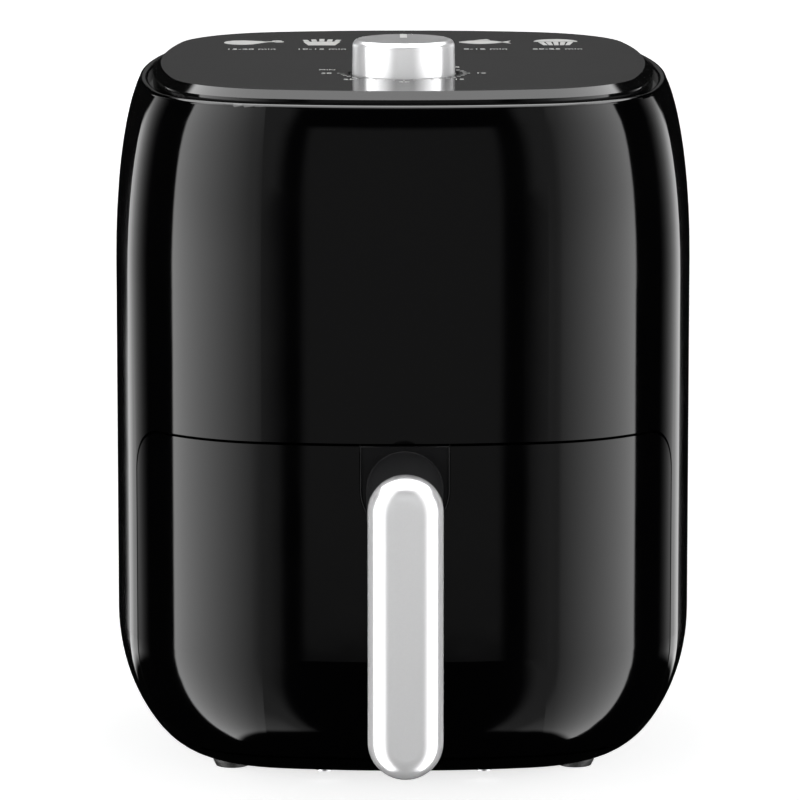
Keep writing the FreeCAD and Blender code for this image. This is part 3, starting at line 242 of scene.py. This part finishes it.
def piano_black():
    """High gloss moulded skin: deep black, with faint polish marks and a very slight waviness."""
    skin = Finish("piano_black")
    haze = skin.noise(38.0, 4.0)
    dust = skin.noise(2600.0, 1.0).fade(0.66, 0.80)
    wave = skin.noise(55.0, 1.0)
    return skin.shade(
        Base_Color=skin.mix(dust * 0.25, (0.0006, 0.0006, 0.0007), (0.008, 0.008, 0.008)),
        Roughness=0.035 + haze * 0.05 + dust * 0.08,
        Normal=skin.bump(wave, 0.04, 0.0004),
        IOR=1.33,
    )


def panel_grey_black():
    """Lacquered black panel: it mirrors the pale backdrop, so it looks grey from a low eye."""
    panel = Finish("panel_grey_black")
    grain = panel.noise(3200.0, 2.0)
    haze = panel.noise(30.0, 3.0)
    return panel.shade(
        Base_Color=panel.mix(haze, (0.0016, 0.0016, 0.0017), (0.0024, 0.0024, 0.0025)),
        Roughness=0.05 + haze * 0.05 + grain * 0.02,
        Normal=panel.bump(grain, 0.01, 0.00005),
        IOR=1.33,
    )


def matt_black_plastic():
    """Spark-eroded moulding: fine grain and slightly uneven sheen."""
    plastic = Finish("matt_black_plastic")
    grain = plastic.noise(2400.0, 3.0)
    patches = plastic.noise(45.0, 3.0)
    return plastic.shade(
        Base_Color=plastic.mix(patches, (0.0025, 0.0025, 0.0028), (0.0055, 0.0055, 0.0058)),
        Roughness=0.36 + grain * 0.14 + patches * 0.06,
        Normal=plastic.bump(grain, 0.18, 0.0002),
        IOR=1.2,
    )


def foot_rubber():
    """Soft rubber: dark, mottled and slightly grained."""
    rubber = Finish("foot_rubber")
    mottle = rubber.noise(240.0, 4.0)
    grain = rubber.noise(3500.0, 2.0)
    return rubber.shade(
        Base_Color=rubber.mix(mottle, (0.004, 0.004, 0.004), (0.011, 0.011, 0.010)),
        Roughness=0.42 + grain * 0.2,
        Normal=rubber.bump(grain, 0.3, 0.0002),
    )


def silver_coat():
    """Satin silver coat with a fine flake."""
    coat = Finish("silver_coat")
    sparkle = coat.noise(1900.0, 1.0)
    haze = coat.noise(60.0, 3.0)
    return coat.shade(
        Base_Color=coat.mix(sparkle, (0.92, 0.92, 0.93), (0.98, 0.98, 0.99)),
        Roughness=0.17 + sparkle * 0.05 + haze * 0.04,
        Metallic=0.52,
        Normal=coat.bump(sparkle, 0.02, 0.00002),
    )


def white_print():
    """Screen-printed ink: off white, a little uneven in cover."""
    ink = Finish("white_print")
    cover = ink.noise(1800.0, 3.0)
    return ink.shade(
        Base_Color=ink.mix(cover, (0.44, 0.44, 0.43), (0.58, 0.58, 0.57)),
        Roughness=0.45 + cover * 0.15,
        Normal=ink.bump(cover, 0.08, 0.00005),
    )


def plated_steel():
    """Zinc-plated steel with fine drawn lines and a slightly cloudy plating."""
    steel = Finish("plated_steel")
    lines = steel.noise(60.0, 4.0, steel.stretched(60.0, 2.0, 60.0))
    cloud = steel.noise(120.0, 3.0)
    return steel.shade(
        Base_Color=steel.mix(cloud, (0.50, 0.51, 0.53), (0.64, 0.64, 0.66)),
        Roughness=0.26 + lines * 0.2,
        Metallic=1.0,
        Normal=steel.bump(lines, 0.08, 0.0001),
    )


def aluminised_sheet():
    """Aluminised sheet with a faint spangle and rolling marks."""
    sheet = Finish("aluminised_sheet")
    spangle = sheet.node("ShaderNodeSeparateColor", {}, {"Color": sheet.cells(190.0)})
    rolling = sheet.noise(40.0, 4.0, sheet.stretched(2.0, 40.0, 40.0))
    return sheet.shade(
        Base_Color=sheet.mix(spangle, (0.60, 0.61, 0.62), (0.68, 0.68, 0.69)),
        Roughness=0.30 + spangle * 0.1 + rolling * 0.1,
        Metallic=1.0,
        Normal=sheet.bump(rolling, 0.06, 0.0001),
    )


def heater_tube():
    """Annealed sheath, dark with straw and blue heat tints."""
    tube = Finish("heater_tube")
    tint = tube.noise(32.0, 3.0)
    stops = [
        (0.30, (0.045, 0.042, 0.045)), (0.48, (0.12, 0.095, 0.07)), (0.66, (0.07, 0.075, 0.10)),
    ]
    scale = tube.noise(900.0, 3.0)
    return tube.shade(
        Base_Color=tube.node("ShaderNodeValToRGB", {"stops": stops}, {"Fac": tint}),
        Roughness=0.38 + scale * 0.25,
        Metallic=0.8,
        Normal=tube.bump(scale, 0.12, 0.0001),
    )


def nonstick_coat():
    """Dark non-stick coat with a pale fleck and a soft sheen."""
    coat = Finish("nonstick_coat")
    fleck = coat.noise(2100.0, 1.0).fade(0.64, 0.70)
    orange_peel = coat.noise(900.0, 2.0)
    return coat.shade(
        Base_Color=coat.mix(fleck * 0.6, (0.014, 0.014, 0.015), (0.11, 0.11, 0.11)),
        Roughness=0.34 + orange_peel * 0.16,
        Normal=coat.bump(orange_peel, 0.12, 0.0002),
    )


def motor_can():
    """Grey zinc on the motor's can, with a dull bloom."""
    can = Finish("motor_can")
    bloom = can.noise(160.0, 4.0)
    return can.shade(
        Base_Color=can.mix(bloom, (0.26, 0.27, 0.28), (0.40, 0.40, 0.41)),
        Roughness=0.40 + bloom * 0.2,
        Metallic=0.9,
        Normal=can.bump(bloom, 0.05, 0.0002),
    )


def natural_nylon():
    """Undyed moulding of the timer and the fuse, slightly cloudy."""
    nylon = Finish("natural_nylon")
    cloud = nylon.noise(90.0, 3.0)
    grain = nylon.noise(2600.0, 2.0)
    return nylon.shade(
        Base_Color=nylon.mix(cloud, (0.60, 0.58, 0.52), (0.70, 0.68, 0.62)),
        Roughness=0.42 + grain * 0.1,
        Normal=nylon.bump(grain, 0.1, 0.0001),
    )


def bumper_silicone():
    """Dark silicone with a dusty bloom."""
    silicone = Finish("bumper_silicone")
    bloom = silicone.noise(300.0, 4.0)
    return silicone.shade(
        Base_Color=silicone.mix(bloom, (0.03, 0.03, 0.032), (0.06, 0.06, 0.062)),
        Roughness=0.5 + bloom * 0.2,
        Normal=silicone.bump(bloom, 0.1, 0.0002),
    )


FINISHES = {
    "gloss_black": piano_black(),
    "panel_black": panel_grey_black(),
    "black_plastic": matt_black_plastic(),
    "rubber_black": foot_rubber(),
    "silver_coat": silver_coat(),
    "white_mark": white_print(),
    "bare_steel": plated_steel(),
    "aluminised_sheet": aluminised_sheet(),
    "heater_sheath": heater_tube(),
    "nonstick": nonstick_coat(),
    "motor_can": motor_can(),
    "timer_case": natural_nylon(),
    "silicone": bumper_silicone(),
}


def dress_solids():
    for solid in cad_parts.values():
        for slot in solid.material_slots:
            slot.material = FINISHES[slot.material.name.split(".")[0]]


def add_piece(name, mesh, slot, body="housing"):
    piece = bpy.data.objects.new(name, mesh)
    bpy.context.scene.collection.objects.link(piece)
    mesh.materials.clear()
    mesh.materials.append(FINISHES[slot])
    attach(piece, body)
    return piece


def studio_camera():
    data = bpy.data.cameras.new("camera")
    data.sensor_width = SENSOR_MM
    data.lens = LENS_MM
    data.shift_x = -OBJECT_RIGHT_OF_MIDDLE / FRAME_PIXELS
    camera = bpy.data.objects.new("camera", data)
    camera.location = (CAMERA_X, CAMERA_Y, CAMERA_Z)
    yaw = math.atan2(CAMERA_X, CAMERA_AIM_Y - CAMERA_Y)
    camera.rotation_euler = (math.pi / 2 - CAMERA_TILT, 0, yaw)
    bpy.context.scene.collection.objects.link(camera)
    bpy.context.scene.camera = camera


def mirrored_cards(x, around, up):
    """Level that gloss mirrors: a dim front card, bright side cards, and cards behind and above."""
    front = FRONT_LEVEL * around.fade(*FRONT_SIDE) * up.fade(*FRONT_FOOT) * up.fade(*FRONT_HEAD)
    right = x.math("GREATER_THAN", x, 0)
    turned = around - RIGHT_TURN * right
    run = turned.math("MAXIMUM", turned, SHELF_END) - SIDE_ZERO
    lean = up.math("MINIMUM", up + SIDE_LEAN_BELOW, 0) * SIDE_LEAN
    near = around - RIGHT_NEAR_TURN * right + lean
    side = (SIDE_LEVEL - RIGHT_DIM * right) * (run / SIDE_SPAN) ** SIDE_POWER
    side = side * (1 - SHELF_DIM * turned.fade(SHELF_RISE_END, SHELF_END))
    side = side * (1 - SIDE_HIGH_DIM * up.fade(*SIDE_HIGH))
    side = side * near.fade(*SIDE_NEAR) * around.fade(*SIDE_FAR) * up.fade(*SIDE_FOOT)
    slanted = around + up.math("MAXIMUM", up + REAR_SLANT_ABOVE, 0)
    rear = REAR_LEVEL * around.fade(*REAR_NEAR) * slanted.fade(*REAR_FAR) * up.fade(*REAR_FOOT)
    back = BACK_LEVEL * around.fade(*BACK_SIDE) * up.fade(*BACK_FOOT) * up.fade(*BACK_HEAD)
    side_top = around.fade(*SIDE_TOP_NEAR) * around.fade(*SIDE_TOP_FAR) * up.fade(*SIDE_TOP_FOOT)
    rear_top = around.fade(*REAR_TOP_NEAR) * up.fade(*REAR_TOP_FOOT) * up.fade(*REAR_TOP_HEAD)
    top = TOP_LEVEL * up.math("MAXIMUM", up.fade(*TOP_EDGE), side_top) + REAR_TOP_LEVEL * rear_top
    return DARK_LEVEL + front + (side + rear) * up.fade(*WALL_HEAD) + back + top


def studio_world():
    """White to the camera, low light on rough surfaces, and soft cards for the gloss to mirror."""
    world = bpy.data.worlds.new("studio")
    world.use_nodes = True
    bpy.context.scene.world = world
    tree = Tree(world.node_tree)
    direction = tree.node("ShaderNodeTexCoord")
    x = tree.node("ShaderNodeSeparateXYZ", {}, {"Vector": direction})
    y, z = (Socket(tree, socket) for socket in x.socket.node.outputs[1:])
    degrees = math.pi / 180
    around = x.math("ARCTAN2", x.math("ABSOLUTE", x), 0 - y) / degrees
    up = z.math("ARCSINE", z) / degrees
    gloss = mirrored_cards(x, around, up)
    ambient = AMBIENT_BASE + AMBIENT_LEVEL * up.fade(*AMBIENT_HEAD)
    rays = tree.node("ShaderNodeLightPath").socket.node.outputs
    camera = Socket(tree, rays["Is Camera Ray"])
    glossy = Socket(tree, rays["Is Glossy Ray"])
    level = camera + (1 - camera) * (glossy * gloss + (1 - glossy) * ambient)
    colour = tree.node("ShaderNodeCombineColor", {}, {0: level, 1: level, 2: level})
    tree.feed(world.node_tree.nodes["Background"].inputs["Color"], colour)


def studio_floor():
    """Pale floor that runs out to white and keeps the object's shadow."""
    mesh = bpy.data.meshes.new("floor")
    corners = [(x * FLOOR_HALF, y * FLOOR_HALF, 0) for x, y in ((-1, -1), (1, -1), (1, 1), (-1, 1))]
    mesh.from_pydata(corners, [], [(0, 1, 2, 3)])
    floor = bpy.data.objects.new("floor", mesh)
    bpy.context.scene.collection.objects.link(floor)
    material = bpy.data.materials.new("pale_floor")
    material.use_nodes = True
    material.node_tree.nodes.clear()
    tree = Tree(material.node_tree)
    camera = tree.node("ShaderNodeLightPath")
    shade = tree.node("ShaderNodeBsdfDiffuse", {}, {"Color": rgba(FLOOR_WHITE)})
    glow = tree.node("ShaderNodeEmission", {}, {"Strength": camera * FLOOR_GLOW})
    lit = tree.node("ShaderNodeAddShader", {}, {0: shade, 1: glow})
    tree.node("ShaderNodeOutputMaterial", {}, {"Surface": lit})
    mesh.materials.append(material)
    floor.visible_glossy = False


def geometry_tree(name, numbers):
    """Builder of a geometry node tree with named number inputs, and its input sockets."""
    group = bpy.data.node_groups.new(name, "GeometryNodeTree")
    group.interface.new_socket("Geometry", in_out="INPUT", socket_type="NodeSocketGeometry")
    group.interface.new_socket("Geometry", in_out="OUTPUT", socket_type="NodeSocketGeometry")
    for number in numbers:
        group.interface.new_socket(number, in_out="INPUT", socket_type="NodeSocketFloat")
    tree = Tree(group)
    entry = tree.node("NodeGroupInput").socket.node
    return tree, {socket.name: Socket(tree, socket) for socket in entry.outputs if socket.name}


def finish_tree(tree, geometry, material):
    real = tree.node("GeometryNodeRealizeInstances", {}, {"Geometry": geometry})
    coated = tree.node("GeometryNodeSetMaterial", {}, {"Geometry": real, "Material": material})
    tree.node("NodeGroupOutput", {}, {"Geometry": coated})


def plain_mesh(holder):
    """Evaluated mesh of a helper object, which is then removed."""
    bpy.context.view_layer.update()
    evaluated = holder.evaluated_get(bpy.context.evaluated_depsgraph_get())
    mesh = bpy.data.meshes.new_from_object(evaluated)
    bpy.data.objects.remove(holder)
    return mesh


def grown(name, tree, numbers, base):
    """Plain mesh that a geometry node tree makes from a base mesh."""
    holder = bpy.data.objects.new(name + "_base", base)
    bpy.context.scene.collection.objects.link(holder)
    modifier = holder.modifiers.new(name, "NODES")
    modifier.node_group = tree.tree
    for item in tree.tree.interface.items_tree:
        if item.in_out == "INPUT" and item.name in numbers:
            modifier[item.identifier] = numbers[item.name]
    mesh = plain_mesh(holder)
    mesh.name = name
    return mesh


def points_mesh(name, points, joined=False):
    mesh = bpy.data.meshes.new(name)
    edges = [(i, i + 1) for i in range(len(points) - 1)] if joined else []
    mesh.from_pydata([tuple(point) for point in points], edges, [])
    return mesh


def tick_tree():
    """Bars round the dial, one for each point of the base mesh, turned to the dial's centre."""
    names = ["Step", "Radius", "Length", "Width", "Thickness"]
    tree, entry = geometry_tree("dial_ticks", names)
    turn = tree.node("GeometryNodeInputIndex") * entry["Step"]
    reach = entry["Radius"] + entry["Length"] * 0.5
    spot = tree.node("ShaderNodeCombineXYZ", {}, {
        "X": turn.math("SINE", turn) * reach,
        "Y": turn.math("COSINE", turn) * reach,
    })
    size = tree.node("ShaderNodeCombineXYZ", {}, {
        "X": entry["Width"], "Y": entry["Length"], "Z": entry["Thickness"],
    })
    bar = tree.node("GeometryNodeMeshCube", {}, {"Size": size})
    placed = tree.node("GeometryNodeSetPosition", {}, {
        "Geometry": entry["Geometry"], "Position": spot,
    })
    spin = tree.node("ShaderNodeCombineXYZ", {}, {"Z": 0 - turn})
    bars = tree.node("GeometryNodeInstanceOnPoints", {}, {
        "Points": placed, "Instance": bar, "Rotation": spin,
    })
    finish_tree(tree, bars, FINISHES["white_mark"])
    return tree


def ticks(name, count, length):
    step = math.radians(DIAL_SWEEP) / (count - 1)
    numbers = {
        "Step": step, "Radius": TICK_RADIUS, "Length": length, "Width": TICK_WIDTH,
        "Thickness": 2 * PRINT_THICKNESS,
    }
    return grown(name, tick_tree(), numbers, points_mesh(name, [(0, 0, 0)] * count))


def letters(text, size):
    """Flat closed mesh of plain lettering, centred at the origin."""
    curve = bpy.data.curves.new("letters", "FONT")
    curve.body = text
    curve.size = size
    curve.align_x = "CENTER"
    curve.align_y = "CENTER"
    curve.extrude = PRINT_THICKNESS
    curve.resolution_u = 3
    holder = bpy.data.objects.new("letters", curve)
    bpy.context.scene.collection.objects.link(holder)
    return plain_mesh(holder)


def joined(name, meshes):
    """One mesh from several."""
    sheet = bmesh.new()
    for mesh in meshes:
        sheet.from_mesh(mesh)
    bmesh.ops.recalc_face_normals(sheet, faces=sheet.faces)
    whole = bpy.data.meshes.new(name)
    sheet.to_mesh(whole)
    sheet.free()
    return whole


def moved(mesh, x, y, z=0.0, turn=0.0):
    mesh.transform(Matrix.Translation((x, y, z)) @ Matrix.Rotation(turn, 4, "Z"))
    return mesh


def plate(points):
    """Thin closed plate of a flat outline, for a printed sign."""
    sheet = bmesh.new()
    low = [sheet.verts.new((x * MM, y * MM, -PRINT_THICKNESS)) for x, y in points]
    face = sheet.faces.new(low)
    lifted = bmesh.ops.extrude_face_region(sheet, geom=[face])["geom"]
    tops = [item for item in lifted if isinstance(item, bmesh.types.BMVert)]
    bmesh.ops.translate(sheet, verts=tops, vec=(0, 0, 2 * PRINT_THICKNESS))
    mesh = bpy.data.meshes.new("plate")
    sheet.to_mesh(mesh)
    sheet.free()
    return mesh


def arc(centre_x, centre_y, radius_x, radius_y, first, last, steps=16):
    turns = [math.radians(first + (last - first) * i / steps) for i in range(steps + 1)]
    return [(centre_x + radius_x * math.cos(t), centre_y + radius_y * math.sin(t)) for t in turns]


def drumstick_sign():
    meat = arc(0, 4.0, 7.4, 7.0, -25, 205, 28) + [(-1.5, -5.6), (1.5, -5.6)]
    bone = [(-1.0, -5.0), (-1.0, -10.0), (1.0, -10.0), (1.0, -5.0)]
    knuckles = [plate(arc(side * 1.6, -10.6, 1.9, 1.9, 0, 345)) for side in (-1, 1)]
    pieces = [plate(meat), plate(bone)] + knuckles
    return [moved(mesh, 0, 0, turn=SIGN_LEAN) for mesh in pieces]


def chips_sign():
    cup = [(-7.2, 1.5), (-5.2, -11.0), (5.2, -11.0), (7.2, 1.5)]
    sticks = []
    for place in SIGN_BARS:
        x = place * SIGN_BAR_PITCH
        spread = x * 1.14
        top = 11.5 - abs(place) * 1.6
        outline = [(x - 1.0, 2.6), (x + 1.0, 2.6), (spread + 1.0, top), (spread - 1.0, top)]
        sticks.append(plate(outline))
    return [plate(cup)] + sticks


def fish_sign():
    back = arc(-1.5, -9.0, 11.0, 15.0, 40, 140, 20)
    belly = arc(-1.5, 9.0, 11.0, 15.0, -40, -140, 20)
    body = plate(back + belly[::-1])
    tail = plate([(6.6, 0.0), (10.4, 5.0), (9.2, 0.0), (10.4, -5.0)])
    fin = plate([(-3.5, 7.2), (1.2, 10.6), (2.4, 7.0)])
    return [body, tail, fin]


def muffin_sign():
    dome = plate(arc(0, 1.5, 8.6, 9.0, 0, 180, 24))
    ribs = []
    for place in SIGN_BARS:
        x = place * SIGN_BAR_PITCH
        foot = x * 0.74
        outline = [(x - 1.05, 0.2), (foot - 0.85, -11.0), (foot + 0.85, -11.0), (x + 1.05, 0.2)]
        ribs.append(plate(outline))
    return [dome] + ribs


def panel_print():
    """Dial scale, its unit and four plain food signs with cooking times."""
    panel_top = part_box("control_panel")[1].z
    knob_low, knob_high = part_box("timer_knob")
    dial_y = (knob_low.y + knob_high.y) / 2
    marks = [ticks("five_minute_ticks", len(MINUTES), LONG_TICK)]
    marks.append(ticks("minute_ticks", MINUTES[-1] + 1, SHORT_TICK))
    for index, minute in enumerate(MINUTES):
        turn = math.radians(DIAL_SWEEP * index / (len(MINUTES) - 1))
        spot = Vector((math.sin(turn), math.cos(turn))) * MINUTES_RADIUS
        marks.append(moved(letters(str(minute), MINUTES_SIZE), spot.x, spot.y))
    turn = math.radians(UNIT_ANGLE)
    unit = letters("MIN", UNIT_SIZE)
    marks.append(moved(unit, UNIT_RADIUS * math.sin(turn), UNIT_RADIUS * math.cos(turn)))
    for mark in marks:
        moved(mark, 0, dial_y)
    signs = (drumstick_sign(), chips_sign(), fish_sign(), muffin_sign())
    for column, sign, time in zip(SIGN_COLUMNS, signs, SIGN_TIMES):
        marks += [moved(mesh, column, SIGN_Y) for mesh in sign]
        marks.append(moved(letters(time + " min", SIGN_TIME_SIZE), column, SIGN_TIME_Y))
    sheet = joined("panel_print", marks)
    sheet.transform(Matrix.Translation((0, 0, panel_top)))
    add_piece("panel_print", sheet, "white_mark")


def bead_tree():
    """Round bead along a line of points."""
    tree, entry = geometry_tree("edge_bead", ["Radius"])
    path = tree.node("GeometryNodeMeshToCurve", {}, {"Mesh": entry["Geometry"]})
    section = tree.node("GeometryNodeCurvePrimitiveCircle", {}, {
        "Resolution": BEAD_SIDES, "Radius": entry["Radius"],
    })
    bead = tree.node("GeometryNodeCurveToMesh", {}, {
        "Curve": path, "Profile Curve": section, "Fill Caps": True,
    })
    finish_tree(tree, bead, FINISHES["black_plastic"])
    return tree


def on_front(x, z):
    """Point on the drawer's shallow front arc."""
    return (x, FRONT_Y + FRONT_RADIUS - math.sqrt(FRONT_RADIUS**2 - x**2), z)


def handle_beads():
    """Fine rounded edge round the handle's neck and along the border of its base."""
    turns = [math.radians(180 * i / HALF_TURN_STEPS) for i in range(HALF_TURN_STEPS + 1)]
    cover_low, cover_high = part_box("handle_cover")
    half = (cover_high.x - cover_low.x) / 2
    crown = cover_high.z + NECK_LIFT - half
    neck = [(half * math.cos(t), crown + half * math.sin(t)) for t in turns]
    neck = [(half, crown - NECK_SIDE)] + neck + [(-half, crown - NECK_SIDE)]
    bowl = INSERT_TOP - INSERT_SIDE
    border = [(INSERT_HALF * math.cos(t), bowl - INSERT_HALF * math.sin(t)) for t in turns]
    border = [(INSERT_HALF, INSERT_TOP)] + border + [(-INSERT_HALF, INSERT_TOP)]
    border.append(border[0])
    beads = []
    for name, line in (("neck_bead", neck), ("insert_bead", border)):
        base = points_mesh(name, [on_front(x, z) for x, z in line], True)
        beads.append(grown(name, bead_tree(), {"Radius": BEAD_RADIUS}, base))
    add_piece("handle_beads", joined("handle_beads", beads), "black_plastic", "drawer")


def screw_tree():
    """Pan-head screws with a cross recess, head down, one at each point of the base mesh."""
    names = [
        "Head Radius", "Head Height", "Shank Radius", "Shank Length",
        "Recess Width", "Recess Depth",
    ]
    tree, entry = geometry_tree("base_screws", names)

    def at(z, mesh):
        lift = tree.node("ShaderNodeCombineXYZ", {}, {"Z": z})
        return tree.node("GeometryNodeTransform", {}, {"Geometry": mesh, "Translation": lift})

    def round_bar(radius, depth):
        sockets = {"Vertices": SCREW_SIDES, "Radius": radius, "Depth": depth}
        return tree.node("GeometryNodeMeshCylinder", {}, sockets)

    def slot(first, second):
        size = tree.node("ShaderNodeCombineXYZ", {}, {
            "X": first, "Y": second, "Z": entry["Recess Depth"] * 2,
        })
        return tree.node("GeometryNodeMeshCube", {}, {"Size": size})

    head = at(entry["Head Height"] * 0.5, round_bar(entry["Head Radius"], entry["Head Height"]))
    span = entry["Head Radius"] * RECESS_SPAN
    cross = tree.node("GeometryNodeMeshBoolean", {"operation": "UNION"}, {})
    for first, second in ((span, entry["Recess Width"]), (entry["Recess Width"], span)):
        tree.tree.links.new(slot(first, second).socket, cross.socket.node.inputs["Mesh 2"])
    sockets = {"Mesh 1": head, "Mesh 2": cross}
    cut = tree.node("GeometryNodeMeshBoolean", {"operation": "DIFFERENCE"}, sockets)
    top = entry["Head Height"] + entry["Shank Length"] * 0.5
    shank = at(top, round_bar(entry["Shank Radius"], entry["Shank Length"]))
    whole = tree.node("GeometryNodeJoinGeometry", {}, {"Geometry": cut})
    tree.tree.links.new(shank.socket, whole.socket.node.inputs["Geometry"])
    placed = tree.node("GeometryNodeInstanceOnPoints", {}, {
        "Points": entry["Geometry"], "Instance": whole,
    })
    finish_tree(tree, placed, FINISHES["bare_steel"])
    return tree


def base_screws():
    """Cross-head screws in place of the plain ones, sized from their box."""
    low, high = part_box("base_screws")
    plate_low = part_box("housing_shell")[0].z
    height = plate_low - low.z
    head = 2 * height
    columns, rows = (low.x + head, high.x - head), (low.y + head, high.y - head)
    spots = [(x, y, low.z) for x in columns for y in rows]
    numbers = {
        "Head Radius": head, "Head Height": height, "Shank Radius": height,
        "Shank Length": high.z - plate_low,
        "Recess Width": RECESS_WIDTH, "Recess Depth": RECESS_DEPTH,
    }
    mesh = grown("cross_head_screws", screw_tree(), numbers, points_mesh("screw_spots", spots))
    screws = add_piece("cross_head_screws", mesh, "bare_steel")
    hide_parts("base_screws")


def main():
    dress_solids()
    panel_print()
    handle_beads()
    base_screws()
    studio_camera()
    studio_world()
    studio_floor()
    bpy.context.scene.view_settings.view_transform = "Standard"


main()
